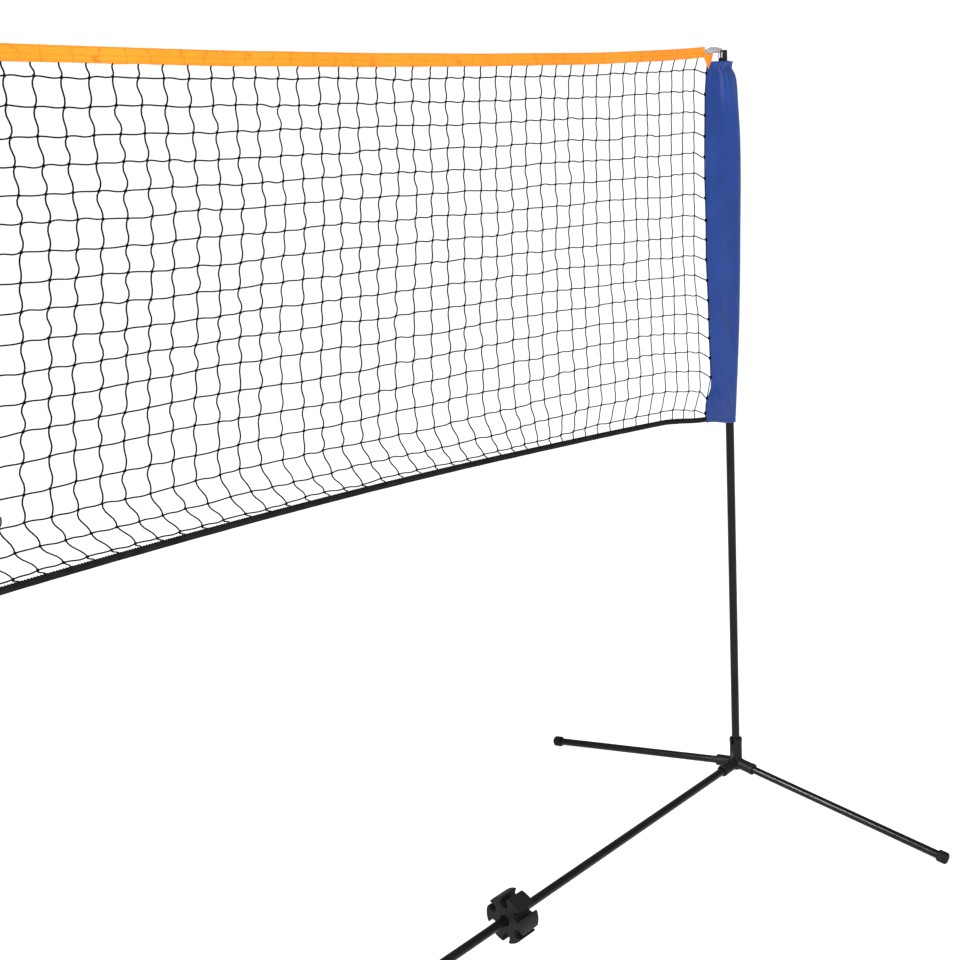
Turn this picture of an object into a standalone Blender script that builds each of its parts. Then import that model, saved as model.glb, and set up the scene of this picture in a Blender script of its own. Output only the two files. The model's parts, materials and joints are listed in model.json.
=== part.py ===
"""Free-standing portable badminton net, metres, +Z up, origin on the floor under the middle of the net.

The net runs along X between two posts. Each post stands in a hub that also holds two sloping feet and
one end of the base rail. Seen along +Y, the front is -Y.
"""

import math

import bmesh
import bpy
from mathutils import Matrix, Vector

# Overall sizes
NET_SPAN = 3.000  # from one post's axis to the other's
POST_HEIGHT = 1.550  # floor to the top of the post cap
RAIL_HEIGHT = 0.073  # floor to the rail's axis, which is also the hub's centre
FOOT_LENGTH = 0.487  # hub centre to the cap's outer end, along the foot
FOOT_SWEEP = math.radians(3.5)  # how far the feet lean towards the net, seen from above

# Tubes and the gaps between pieces that touch
TUBE_OD = 0.0160  # feet and rail
POST_OD = 0.0168
TUBE_WALL = 0.0010
GAP = 0.0003
SEGMENTS = 24  # sides of a round piece

# Hub
SOCKET_WALL = 0.00395  # feet and rail
POST_SOCKET_WALL = 0.00480
HUB_BASE_DROP = 0.0135  # hub centre to its underside
SOCKET_CHAMFER = 0.0010
FOOT_SOCKET_REACH = 0.046
RAIL_SOCKET_REACH = 0.058
POST_SOCKET_RISE = 0.057
SOCKET_STOP = 0.016  # hub centre to the bottom of a foot or rail socket
POST_STOP = 0.0125  # the same for the post socket
WEB_THICKNESS = 0.010
WEB_MARGIN = 0.006  # how far the web stops short of each socket's mouth
WEB_INSET = 0.002  # how far the web sinks into the sockets
NOTCH_WIDTH = 0.006
NOTCH_DEPTH = 0.013

# Foot caps
CAP_WALL = 0.0032
CAP_LENGTH = 0.019
CAP_END_WALL = 0.005
CAP_FLAT = 0.0010  # depth of the flat worn or moulded where the cap rests
CAP_CHAMFER = 0.0015

# Base rail: equal tubes with a joining plug at each joint
RAIL_TUBES = 4
PLUG_HALF_LENGTH = 0.045
COLLAR_WIDTH = 0.002

# Storage clips, one over each outer joint of the rail
CLIP_RADIUS = 0.043
CLIP_LENGTH = 0.043
CLIP_BORE_CLEARANCE = 0.0006
GROOVE_COUNT = 6
GROOVE_CIRCLE = 0.0323  # rail axis to a groove's centre
GROOVE_CLEARANCE = 0.0003
GROOVE_MOUTH = 0.0120

# Post
POST_JOINT_COVER = 0.021  # how far the sleeve hangs below the joint in the post
HEAD_HEIGHT = 0.020  # the part of the post cap that stands above the tube
STEM_LENGTH = 0.025
SLOT_WIDTH = 0.0018
SLOT_DEPTH = 0.014
SLOT_OFFSETS = (0.0063, 0.0018)  # post axis to the middle of each slot
SLOT_TURN = math.radians(31.5)  # direction the slots run in, from +X

# Net, sleeves and tapes
SLEEVE_DROP = 0.0215  # top of the post cap to the sleeve's top edge
SLEEVE_LENGTH = 0.7045
SLEEVE_REACH = 0.090  # post axis to the sleeve's inner edge, at its hem
SLEEVE_TOP_REACH = 0.068  # the same at its top
SLEEVE_RADIUS = 0.0240  # the sleeve hangs loose round the post
SLEEVE_WALL = 0.0012
SLEEVE_EDGE_RADIUS = 0.0020
TAPE_HEIGHT = 0.019
TAPE_THICKNESS = 0.003
TAPE_OVERLAP = 0.0025  # how far the top tape runs on over the sleeve
TAPE_SAG = 0.036
BOTTOM_TAPE_HEIGHT = 0.009
BOTTOM_TAPE_LIFT = 0.0250  # sleeve's bottom edge to the bottom tape's lower edge
BOTTOM_RISE = 0.051  # how far the bottom tape is drawn up in the middle
NET_THICKNESS = 0.001
NET_STATIONS = 24
LOOP_CLEARANCE = 0.0008
LOOP_THICKNESS = 0.0012
LOOP_HEIGHT = 0.015
LOOP_TIP_RADIUS = 0.0018

TUBE_BORE = TUBE_OD / 2 + GAP
POST_BORE = POST_OD / 2 + GAP
SOCKET_OD = 2 * (TUBE_BORE + SOCKET_WALL)
POST_SOCKET_OD = 2 * (POST_BORE + POST_SOCKET_WALL)
CAP_OD = 2 * (TUBE_BORE + CAP_WALL)
SLEEVE_TOP = POST_HEIGHT - SLEEVE_DROP
SLEEVE_BOTTOM = SLEEVE_TOP - SLEEVE_LENGTH
POST_JOINT_HEIGHT = SLEEVE_BOTTOM + POST_JOINT_COVER
TAPE_END = SLEEVE_TOP_REACH - TAPE_OVERLAP
SIDES = {"right": 1, "left": -1}


def foot_droop():
    """Angle below the horizontal at which a foot's cap just reaches the floor with its flat."""
    height = RAIL_HEIGHT + CAP_FLAT
    corner = math.hypot(FOOT_LENGTH, CAP_OD / 2)
    return math.asin(height / corner) - math.atan2(CAP_OD / 2, FOOT_LENGTH)


def material(name, color, roughness, metallic=0.0):
    made = bpy.data.materials.new(name)
    made.use_nodes = True
    shader = made.node_tree.nodes["Principled BSDF"]
    shader.inputs["Base Color"].default_value = (*color, 1.0)
    shader.inputs["Roughness"].default_value = roughness
    shader.inputs["Metallic"].default_value = metallic
    made.diffuse_color = (*color, 1.0)
    return made


def revolve(profile, ring=False):
    """A closed solid turned round Z from (radius, height) points; a ring's profile closes on itself."""
    bm = bmesh.new()
    verts = [bm.verts.new((radius, 0, height)) for radius, height in profile]
    ends = verts + verts[:1] if ring else verts
    edges = [bm.edges.new(pair) for pair in zip(ends, ends[1:])]
    bmesh.ops.spin(
        bm,
        geom=verts + edges,
        axis=(0, 0, 1),
        cent=(0, 0, 0),
        angle=math.tau,
        steps=SEGMENTS,
        use_merge=True,
    )
    bmesh.ops.remove_doubles(bm, verts=bm.verts, dist=1e-6)
    bmesh.ops.recalc_face_normals(bm, faces=bm.faces)
    return bm


def rod(radius, low, high, chamfer=0.0):
    """A solid round bar along Z, chamfered at its top end."""
    if not chamfer:
        return revolve([(0, low), (radius, low), (radius, high), (0, high)])
    rim = [(radius, high - chamfer), (radius - chamfer, high)]
    return revolve([(0, low), (radius, low), *rim, (0, high)])


def pipe(diameter, low, high):
    """An open-ended tube along Z."""
    outer = diameter / 2
    inner = outer - TUBE_WALL
    return revolve([(inner, low), (outer, low), (outer, high), (inner, high)], ring=True)


def prism(outline, low, high):
    """A solid with a flat outline in XY, extruded along Z."""
    bm = bmesh.new()
    face = bm.faces.new([bm.verts.new((x, y, low)) for x, y in outline])
    grown = bmesh.ops.extrude_face_region(bm, geom=[face])
    top = [part for part in grown["geom"] if isinstance(part, bmesh.types.BMVert)]
    bmesh.ops.translate(bm, verts=top, vec=(0, 0, high - low))
    bmesh.ops.recalc_face_normals(bm, faces=bm.faces)
    return bm


def turned(bm, matrix):
    bmesh.ops.transform(bm, matrix=matrix, verts=bm.verts)
    return bm


def helper(bm):
    mesh = bpy.data.meshes.new("helper")
    bm.to_mesh(mesh)
    bm.free()
    made = bpy.data.objects.new("helper", mesh)
    bpy.context.scene.collection.objects.link(made)
    made.hide_render = True
    made.display_type = "WIRE"
    return made


def combined(base, added=(), removed=()):
    """One mesh: the base solid with the added solids joined to it and the removed ones cut away."""
    body = helper(base)
    tools = [(helper(bm), "UNION") for bm in added] + [(helper(bm), "DIFFERENCE") for bm in removed]
    for tool, operation in tools:
        step = body.modifiers.new(operation.lower(), "BOOLEAN")
        step.operation = operation
        step.object = tool
    graph = bpy.context.evaluated_depsgraph_get()
    mesh = bpy.data.meshes.new_from_object(body.evaluated_get(graph), depsgraph=graph)
    for used in [body] + [tool for tool, _ in tools]:
        bpy.data.objects.remove(used)
    return mesh


def as_mesh(bm):
    mesh = bpy.data.meshes.new("shape")
    bm.to_mesh(mesh)
    bm.free()
    return mesh


def place(name, mesh, finish, parent, matrix=None):
    """A named piece under its parent empty."""
    if not mesh.materials:
        mesh.materials.append(finish)
        mesh.shade_smooth()
        mesh.set_sharp_from_angle(angle=math.radians(35))
    made = bpy.data.objects.new(name, mesh)
    bpy.context.scene.collection.objects.link(made)
    made.parent = parent
    made.matrix_local = matrix or Matrix()
    return made


def empty(name, matrix, parent=None):
    made = bpy.data.objects.new(name, None)
    bpy.context.scene.collection.objects.link(made)
    made.empty_display_size = 0.05
    made.parent = parent
    made.matrix_local = matrix
    return made


def taper_outline(radius, tip_x, tip_radius):
    """A drop-shaped outline: an arc round the origin and a small one at tip_x, joined by tangents."""
    lean = math.asin((radius - tip_radius) / -tip_x)
    reach = math.pi / 2 + lean
    points = []
    for centre, size, start, end in (
        (0.0, radius, -reach, reach),
        (tip_x, tip_radius, reach, math.tau - reach),
    ):
        steps = SEGMENTS if size == radius else SEGMENTS // 3
        for index in range(steps + 1):
            angle = start + (end - start) * index / steps
            points.append((centre + size * math.cos(angle), size * math.sin(angle)))
    return points


def clip_outline():
    """Six mushroom-headed lobes between C-shaped grooves, as one closed outline."""
    groove = TUBE_OD / 2 + GROOVE_CLEARANCE
    half_mouth = GROOVE_MOUTH / 2
    mouth_angle = math.asin(half_mouth / groove)
    points = []
    for index in range(GROOVE_COUNT):
        turn = math.tau * index / GROOVE_COUNT
        lip = math.sqrt(CLIP_RADIUS**2 - half_mouth**2)
        cut = [(lip, -half_mouth)]
        sweep = math.tau - 2 * mouth_angle
        for step in range(15):
            angle = -mouth_angle - sweep * step / 14
            cut.append((GROOVE_CIRCLE + groove * math.cos(angle), groove * math.sin(angle)))
        cut.append((lip, half_mouth))
        lobe_start = math.asin(half_mouth / CLIP_RADIUS)
        lobe_sweep = math.tau / GROOVE_COUNT - 2 * lobe_start
        for step in range(1, 4):
            angle = lobe_start + lobe_sweep * step / 4
            cut.append((CLIP_RADIUS * math.cos(angle), CLIP_RADIUS * math.sin(angle)))
        for x, y in cut:
            points.append(
                (
                    x * math.cos(turn) - y * math.sin(turn),
                    x * math.sin(turn) + y * math.cos(turn),
                )
            )
    return points


def web_outline():
    """The curved web between the post socket and the rail socket, in (x, z), rail towards -X."""
    side = POST_SOCKET_OD / 2
    top = SOCKET_OD / 2
    rise = POST_SOCKET_RISE - NOTCH_DEPTH - WEB_MARGIN - top
    radius = min(rise, RAIL_SOCKET_REACH - WEB_MARGIN - side)
    points = [(-side - radius, top - WEB_INSET), (-side + WEB_INSET, top - WEB_INSET)]
    points.append((-side + WEB_INSET, top + radius))
    for index in range(9):
        angle = math.pi / 2 * index / 8
        x = -side - radius * (1 - math.cos(angle))
        points.append((x, top + radius * (1 - math.sin(angle))))
    return points


def along(direction):
    """Turns Z to the given direction."""
    return Vector((0, 0, 1)).rotation_difference(Vector(direction)).to_matrix().to_4x4()


def foot_direction(side, front):
    """Unit vector from the hub centre along a foot: side is 1 at +X, front is -1 towards -Y."""
    droop = foot_droop()
    return Vector(
        (
            -side * math.sin(FOOT_SWEEP) * math.cos(droop),
            front * math.cos(FOOT_SWEEP) * math.cos(droop),
            -math.sin(droop),
        )
    )


def hub_mesh():
    """The right hub about its own centre, with the rail leaving towards -X."""
    radius = SOCKET_OD / 2
    rail_axis = along((-1, 0, 0))
    foot_axes = [along(foot_direction(1, front)) for front in (-1, 1)]
    body = rod(POST_SOCKET_OD / 2, -HUB_BASE_DROP, POST_SOCKET_RISE, SOCKET_CHAMFER)
    web = prism(web_outline(), -WEB_THICKNESS / 2, WEB_THICKNESS / 2)
    stand = Matrix.Rotation(math.pi / 2, 4, "X")
    sockets = [turned(rod(radius, 0, RAIL_SOCKET_REACH, SOCKET_CHAMFER), rail_axis)]
    bores = [turned(rod(TUBE_BORE, SOCKET_STOP, RAIL_SOCKET_REACH + 0.01), rail_axis)]
    for axis in foot_axes:
        sockets.append(turned(rod(radius, 0, FOOT_SOCKET_REACH, SOCKET_CHAMFER), axis))
        bores.append(turned(rod(TUBE_BORE, SOCKET_STOP, FOOT_SOCKET_REACH + 0.01), axis))
    bores.append(rod(POST_BORE, POST_STOP, POST_SOCKET_RISE + 0.01))
    bottom = POST_SOCKET_RISE - NOTCH_DEPTH + NOTCH_WIDTH / 2
    notch = [(-NOTCH_WIDTH / 2, POST_SOCKET_RISE + 0.01)]
    for index in range(9):
        angle = math.pi + math.pi * index / 8
        notch.append((NOTCH_WIDTH / 2 * math.cos(angle), bottom + NOTCH_WIDTH / 2 * math.sin(angle)))
    notch.append((NOTCH_WIDTH / 2, POST_SOCKET_RISE + 0.01))
    face_rail = Matrix.Rotation(-math.pi / 2, 4, "Z") @ stand
    bores.append(turned(prism(notch, 0, POST_SOCKET_OD), face_rail))
    return combined(body, added=[*sockets, turned(web, stand)], removed=bores)


def foot_cap_mesh():
    """A rubber cup about the hub centre, its axis along X, cut flat where it rests on the floor."""
    outer = CAP_OD / 2
    open_end = FOOT_LENGTH - CAP_LENGTH
    solid = turned(rod(outer, open_end, FOOT_LENGTH, CAP_CHAMFER), along((1, 0, 0)))
    droop = foot_droop()
    below = (0, 0, -RAIL_HEIGHT / math.cos(droop))
    cut = bmesh.ops.bisect_plane(
        solid,
        geom=solid.verts[:] + solid.edges[:] + solid.faces[:],
        plane_co=below,
        plane_no=(math.sin(droop), 0, -math.cos(droop)),
        clear_outer=True,
    )
    rim = [part for part in cut["geom_cut"] if isinstance(part, bmesh.types.BMEdge)]
    bmesh.ops.edgeloop_fill(solid, edges=rim)
    bmesh.ops.recalc_face_normals(solid, faces=solid.faces)
    bore = turned(rod(TUBE_BORE, open_end - 0.01, FOOT_LENGTH - CAP_END_WALL), along((1, 0, 0)))
    return combined(solid, removed=[bore])


def plug_mesh(diameter, below, above):
    """A joining plug along Z with a thin collar that the two tubes meet on."""
    inner = diameter / 2 - TUBE_WALL - GAP
    half = COLLAR_WIDTH / 2
    profile = [(0, -below), (inner, -below), (inner, -half), (diameter / 2, -half)]
    profile += [(diameter / 2, half), (inner, half), (inner, above), (0, above)]
    return as_mesh(revolve(profile))


def post_cap_mesh():
    """The post cap about the foot of its head: a stem inside the tube and a head with two slots."""
    radius = POST_OD / 2
    stem = radius - TUBE_WALL - GAP
    head = [(stem, 0), (radius, 0), (radius, HEAD_HEIGHT - 0.001), (radius - 0.001, HEAD_HEIGHT)]
    body = revolve([(0, -STEM_LENGTH), (stem, -STEM_LENGTH), *head, (0, HEAD_HEIGHT)])
    slots = []
    for offset in SLOT_OFFSETS:
        outline = [(-POST_OD, offset - SLOT_WIDTH / 2), (POST_OD, offset - SLOT_WIDTH / 2)]
        outline += [(POST_OD, offset + SLOT_WIDTH / 2), (-POST_OD, offset + SLOT_WIDTH / 2)]
        slot = prism(outline, HEAD_HEIGHT - SLOT_DEPTH, HEAD_HEIGHT + 0.01)
        slots.append(turned(slot, Matrix.Rotation(SLOT_TURN, 4, "Z")))
    return combined(body, removed=slots)


def clip_mesh():
    """A storage clip about its own centre, its bore along Z."""
    half = CLIP_LENGTH / 2
    bore = rod(TUBE_OD / 2 + CLIP_BORE_CLEARANCE, -half - 0.01, half + 0.01)
    return combined(prism(clip_outline(), -half, half), removed=[bore])


def drop_prism(radius, tip_x, tip_radius, low, high, draw_in):
    """A drop-shaped outline extruded along Z, its narrow edge drawn in towards the top."""
    solid = prism(taper_outline(radius, tip_x, tip_radius), low, high)
    edge = [vert for vert in solid.verts if vert.co.z > low and vert.co.x < tip_x + tip_radius]
    bmesh.ops.translate(solid, verts=edge, vec=(draw_in, 0, 0))
    return solid


def drop_tube(radius, wall, tip_x, tip_radius, low, high, draw_in=0.0):
    """A thin wall along Z that follows a drop shape round the post, open at both ends."""
    outer = drop_prism(radius, tip_x, tip_radius, low, high, draw_in)
    rise = 0.01
    lean = draw_in * rise / (high - low)
    hole = drop_prism(
        radius - wall,
        tip_x - lean,
        tip_radius - wall,
        low - rise,
        high + rise,
        draw_in + 2 * lean,
    )
    return combined(outer, removed=[hole])


def sag_share(x, reach):
    """1 in the middle of the net, 0 at the sleeve's edge, along a parabola."""
    half = NET_SPAN / 2 - reach
    return 1 - min(abs(x) / half, 1.0) ** 2


def tape_top(x):
    """Height of the top tape's upper edge, a shallow sag between the sleeves."""
    return POST_HEIGHT - TAPE_SAG * sag_share(x, SLEEVE_TOP_REACH)


def bottom_tape_low(x):
    """Height of the bottom tape's lower edge, drawn up in the middle."""
    return SLEEVE_BOTTOM + BOTTOM_TAPE_LIFT + BOTTOM_RISE * sag_share(x, SLEEVE_REACH)


def edge_line(stations, height, offset=0.0):
    return [(x, height(x) + offset) for x in stations]


def net_stations(reach):
    """Even steps along the net from one sleeve's inner edge to the other's."""
    half = NET_SPAN / 2 - reach - GAP
    return [half * (2 * index / NET_STATIONS - 1) for index in range(NET_STATIONS + 1)]


def sleeve_reach(height):
    """Post axis to the sleeve's inner edge at the given height."""
    share = (height - SLEEVE_BOTTOM) / (SLEEVE_TOP - SLEEVE_BOTTOM)
    return SLEEVE_REACH + (SLEEVE_TOP_REACH - SLEEVE_REACH) * share


def band(lower, upper, thickness):
    """A thin upright solid in the XZ plane between two lines of (x, z) points."""
    bm = bmesh.new()
    ends = [bm.verts.new((x, 0, z)) for x, z in (lower[0], upper[0])]
    edge = bm.edges.new(ends)
    for low_point, high_point in zip(lower[1:], upper[1:]):
        grown = bmesh.ops.extrude_edge_only(bm, edges=[edge])["geom"]
        edge = next(part for part in grown if isinstance(part, bmesh.types.BMEdge))
        low, high = sorted(edge.verts, key=lambda vert: vert.co.z)
        low.co = (low_point[0], 0, low_point[1])
        high.co = (high_point[0], 0, high_point[1])
    grown = bmesh.ops.extrude_face_region(bm, geom=bm.faces[:])
    back = [part for part in grown["geom"] if isinstance(part, bmesh.types.BMVert)]
    bmesh.ops.translate(bm, verts=back, vec=(0, thickness, 0))
    bmesh.ops.translate(bm, verts=bm.verts, vec=(0, -thickness / 2, 0))
    bmesh.ops.recalc_face_normals(bm, faces=bm.faces)
    return as_mesh(bm)


def build_base(finishes):
    """Hubs, feet, rail and storage clips."""
    tube = finishes["tube"]
    moulding = finishes["moulding"]
    hub = hub_mesh()
    foot_tube = as_mesh(
        turned(
            pipe(TUBE_OD, SOCKET_STOP + GAP, FOOT_LENGTH - CAP_END_WALL - GAP),
            along((1, 0, 0)),
        )
    )
    foot_cap = foot_cap_mesh()
    base = empty("base_frame", Matrix.Translation((0, 0, RAIL_HEIGHT)))
    for side_name, side in SIDES.items():
        turn = Matrix.Rotation(0 if side > 0 else math.pi, 4, "Z")
        centre = empty(f"hub_frame_{side_name}", Matrix.Translation((side * NET_SPAN / 2, 0, 0)), base)
        place(f"hub_{side_name}", hub, moulding, centre, turn)
        for end_name, front in (("front", -1), ("back", 1)):
            direction = foot_direction(side, front)
            heading = Matrix.Rotation(math.atan2(direction.y, direction.x), 4, "Z")
            tilt = Matrix.Rotation(foot_droop(), 4, "Y")
            axis = empty(f"foot_axis_{side_name}_{end_name}", heading @ tilt, centre)
            place(f"foot_tube_{side_name}_{end_name}", foot_tube, tube, axis)
            place(f"foot_cap_{side_name}_{end_name}", foot_cap, finishes["rubber"], axis)
    build_rail(base, finishes)


def build_rail(base, finishes):
    """Equal tubes end to end between the hubs, with a plug in each joint and a clip over two joints."""
    lie = along((1, 0, 0))
    step = NET_SPAN / RAIL_TUBES
    end = NET_SPAN / 2 - SOCKET_STOP - GAP
    meet = COLLAR_WIDTH / 2 + GAP
    for index in range(RAIL_TUBES):
        low = max(-NET_SPAN / 2 + index * step + meet, -end)
        high = min(-NET_SPAN / 2 + (index + 1) * step - meet, end)
        mesh = as_mesh(turned(pipe(TUBE_OD, low, high), lie))
        place(f"rail_tube_{index + 1}", mesh, finishes["tube"], base)
    plug = plug_mesh(TUBE_OD, PLUG_HALF_LENGTH, PLUG_HALF_LENGTH)
    for index in range(1, RAIL_TUBES):
        spot = Matrix.Translation((-NET_SPAN / 2 + index * step, 0, 0))
        place(f"rail_plug_{index}", plug, finishes["moulding"], base, spot @ lie)
    clip = clip_mesh()
    for side_name, side in SIDES.items():
        spot = Matrix.Translation((side * (NET_SPAN / 2 - step), 0, 0))
        place(f"storage_clip_{side_name}", clip, finishes["moulding"], base, spot @ lie)


def build_posts(finishes):
    """Two tubes, their joining plug and the slotted cap for each post."""
    foot = RAIL_HEIGHT + POST_STOP + GAP
    head = POST_HEIGHT - HEAD_HEIGHT
    meet = COLLAR_WIDTH / 2 + GAP
    lower = as_mesh(pipe(POST_OD, foot, POST_JOINT_HEIGHT - meet))
    upper = as_mesh(pipe(POST_OD, POST_JOINT_HEIGHT + meet, head - GAP))
    plug = plug_mesh(POST_OD, PLUG_HALF_LENGTH, PLUG_HALF_LENGTH)
    cap = post_cap_mesh()
    for side_name, side in SIDES.items():
        turn = Matrix.Rotation(0 if side > 0 else math.pi, 4, "Z")
        axis = empty(f"post_axis_{side_name}", Matrix.Translation((side * NET_SPAN / 2, 0, 0)))
        place(f"post_lower_{side_name}", lower, finishes["tube"], axis)
        place(f"post_upper_{side_name}", upper, finishes["tube"], axis)
        spot = Matrix.Translation((0, 0, POST_JOINT_HEIGHT))
        place(f"post_plug_{side_name}", plug, finishes["moulding"], axis, spot)
        spot = Matrix.Translation((0, 0, head))
        place(f"post_cap_{side_name}", cap, finishes["moulding"], axis, spot @ turn)


def build_net(finishes):
    """Plain solids for the soft parts: sleeves, loops, tapes and the net itself."""
    tip_x = -SLEEVE_REACH + SLEEVE_EDGE_RADIUS
    sleeve = drop_tube(
        SLEEVE_RADIUS,
        SLEEVE_WALL,
        tip_x,
        SLEEVE_EDGE_RADIUS,
        SLEEVE_BOTTOM,
        SLEEVE_TOP,
        draw_in=SLEEVE_REACH - SLEEVE_TOP_REACH,
    )
    outer = POST_OD / 2 + LOOP_CLEARANCE + LOOP_THICKNESS
    low = POST_HEIGHT - (TAPE_HEIGHT + LOOP_HEIGHT) / 2
    tip_x = -TAPE_END + LOOP_TIP_RADIUS + GAP
    loop = drop_tube(outer, LOOP_THICKNESS, tip_x, LOOP_TIP_RADIUS, low, low + LOOP_HEIGHT)
    for side_name, side in SIDES.items():
        turn = Matrix.Rotation(0 if side > 0 else math.pi, 4, "Z")
        axis = bpy.data.objects[f"post_axis_{side_name}"]
        place(f"post_sleeve_{side_name}", sleeve, finishes["sleeve"], axis, turn)
        place(f"tape_loop_{side_name}", loop, finishes["loop"], axis, turn)
    centre = empty("net_frame", Matrix())
    tape_end = NET_SPAN / 2 - TAPE_END
    top = [-tape_end, *net_stations(SLEEVE_TOP_REACH), tape_end]
    low_line = edge_line(top, tape_top, -TAPE_HEIGHT)
    tape = band(low_line, edge_line(top, tape_top), TAPE_THICKNESS)
    place("net_top_tape", tape, finishes["tape"], centre)
    bottom = net_stations(sleeve_reach(SLEEVE_BOTTOM + BOTTOM_TAPE_LIFT))
    high_line = edge_line(bottom, bottom_tape_low, BOTTOM_TAPE_HEIGHT)
    tape = band(edge_line(bottom, bottom_tape_low), high_line, TAPE_THICKNESS)
    place("net_bottom_tape", tape, finishes["bottom_tape"], centre)
    lower = edge_line(bottom, bottom_tape_low, BOTTOM_TAPE_HEIGHT + GAP)
    upper = edge_line(net_stations(SLEEVE_TOP_REACH), tape_top, -TAPE_HEIGHT - GAP)
    place("net_mesh", band(lower, upper, NET_THICKNESS), finishes["net"], centre)


def main():
    for old in list(bpy.data.objects):
        bpy.data.objects.remove(old)
    finishes = {
        "tube": material("tube", (0.018, 0.018, 0.019), 0.38, 0.6),
        "moulding": material("moulding", (0.020, 0.020, 0.020), 0.55),
        "rubber": material("rubber", (0.015, 0.015, 0.015), 0.75),
        "sleeve": material("sleeve", (0.030, 0.075, 0.360), 0.50),
        "tape": material("tape", (1.000, 0.370, 0.030), 0.60),
        "bottom_tape": material("bottom_tape", (0.020, 0.020, 0.020), 0.80),
        "net": material("net", (0.012, 0.012, 0.012), 0.80),
        "loop": material("loop", (0.620, 0.600, 0.610), 0.50),
    }
    build_base(finishes)
    build_posts(finishes)
    build_net(finishes)
    bpy.context.view_layer.update()


main()
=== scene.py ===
# %% [markdown]
# # A portable badminton net, dressed
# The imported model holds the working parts: tubes, hubs, clips, and plain solids where cloth and
# string will be. This lesson builds the looks round it. Every new piece takes its place from the
# model's own boxes and joints, so nothing has to be fitted by eye.

import json
import math
import random

import bmesh
import bpy
from mathutils import Matrix, Vector, noise


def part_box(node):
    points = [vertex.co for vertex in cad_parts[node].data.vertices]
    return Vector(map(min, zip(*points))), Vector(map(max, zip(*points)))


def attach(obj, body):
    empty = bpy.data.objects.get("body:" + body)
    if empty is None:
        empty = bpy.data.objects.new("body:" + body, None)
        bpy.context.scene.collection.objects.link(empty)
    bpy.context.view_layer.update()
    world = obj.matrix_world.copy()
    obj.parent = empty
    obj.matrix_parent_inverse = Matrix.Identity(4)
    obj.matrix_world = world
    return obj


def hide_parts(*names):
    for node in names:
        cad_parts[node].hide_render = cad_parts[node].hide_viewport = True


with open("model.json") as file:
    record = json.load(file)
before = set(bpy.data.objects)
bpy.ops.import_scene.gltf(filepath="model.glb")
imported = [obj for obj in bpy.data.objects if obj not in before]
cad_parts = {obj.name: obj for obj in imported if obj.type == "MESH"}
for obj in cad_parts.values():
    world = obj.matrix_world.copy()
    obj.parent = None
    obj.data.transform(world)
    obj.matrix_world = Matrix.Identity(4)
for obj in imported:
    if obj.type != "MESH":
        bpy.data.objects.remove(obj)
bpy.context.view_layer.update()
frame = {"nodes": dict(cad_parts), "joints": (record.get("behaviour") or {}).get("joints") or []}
nodes = frame["nodes"]

# %% [markdown]
# ## Sizes read from the frame
# The right-hand post stands at +X. Its axis, the rail's height and the heights of the cloth come from
# the boxes of the nodes, and the left-hand pieces are the right-hand ones given half a turn.

# %% Places and heights
post_low, post_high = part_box("post_lower_right")
POST_X = (post_low.x + post_high.x) / 2
POST_RADIUS = (post_high.x - post_low.x) / 2
rail_low, rail_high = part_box("rail_tube_4")
TUBE_RADIUS = (rail_high.z - rail_low.z) / 2
RAIL_Z = (rail_low.z + rail_high.z) / 2
HUB = Vector((POST_X, 0, RAIL_Z))
HALF_TURN = Matrix.Rotation(math.pi, 4, "Z")
SIDES = (("right", Matrix.Identity(4)), ("left", HALF_TURN))
joint_axis = {joint["name"]: Vector(joint["axis"]).normalized() for joint in frame["joints"]}
SLEEVE_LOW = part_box("post_sleeve_right")[0].z
SLEEVE_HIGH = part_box("post_sleeve_right")[1].z
TAPE_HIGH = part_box("net_top_tape")[1].z
TOPS = "net_and_post_tops"
print("post at", round(POST_X, 4), "rail height", round(RAIL_Z, 4))

# %% [markdown]
# ## The camera
# It stands at the front left, a little below the net's top edge, and looks across at the right-hand
# post. Yaw turns it away from +Y, pitch tips it down, and a slight roll leans the picture.

# %% Camera
CAMERA_PLACE = Vector((-0.7734, -1.3906, 1.3305))
CAMERA_YAW = math.radians(47.36)
CAMERA_PITCH = math.radians(-12.83)
CAMERA_ROLL = math.radians(-3.596)
CAMERA_LENS = 48.82


def linked(name, data):
    """A new object in the scene."""
    made = bpy.data.objects.new(name, data)
    bpy.context.scene.collection.objects.link(made)
    return made


camera_data = bpy.data.cameras.new("camera")
camera_data.lens = CAMERA_LENS
camera_data.sensor_width = 36
camera = linked("camera", camera_data)
turn = Matrix.Rotation(-CAMERA_YAW, 4, "Z") @ Matrix.Rotation(math.pi / 2 + CAMERA_PITCH, 4, "X")
camera.matrix_world = Matrix.Translation(CAMERA_PLACE) @ turn @ Matrix.Rotation(CAMERA_ROLL, 4, "Z")
bpy.context.scene.camera = camera
print("camera lens", camera_data.lens)

# %% [markdown]
# ## Making materials
# Each finish is one Principled shader. A small helper makes the shader and hands back its node tree,
# so that a finish is a few lines that say only what is special about it. Cloth reads the piece's own
# UV map, which is laid out in metres, so a thread is the same size on every piece.

# %% Helpers for materials
def new_finish(name, color, roughness, **sockets):
    """A Principled material; returns (material, tree, shader)."""
    made = bpy.data.materials.new(name)
    made.use_nodes = True
    tree = made.node_tree
    shader = tree.nodes["Principled BSDF"]
    shader.inputs["Base Color"].default_value = (*color, 1)
    shader.inputs["Roughness"].default_value = roughness
    for socket, value in sockets.items():
        shader.inputs[socket.replace("_", " ")].default_value = value
    return made, tree, shader


def node(tree, kind, **values):
    """A node with its settings and input values filled in."""
    made = tree.nodes.new(kind)
    for key, value in values.items():
        if hasattr(made, key):
            setattr(made, key, value)
        else:
            made.inputs[key.replace("_", " ")].default_value = value
    return made


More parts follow.
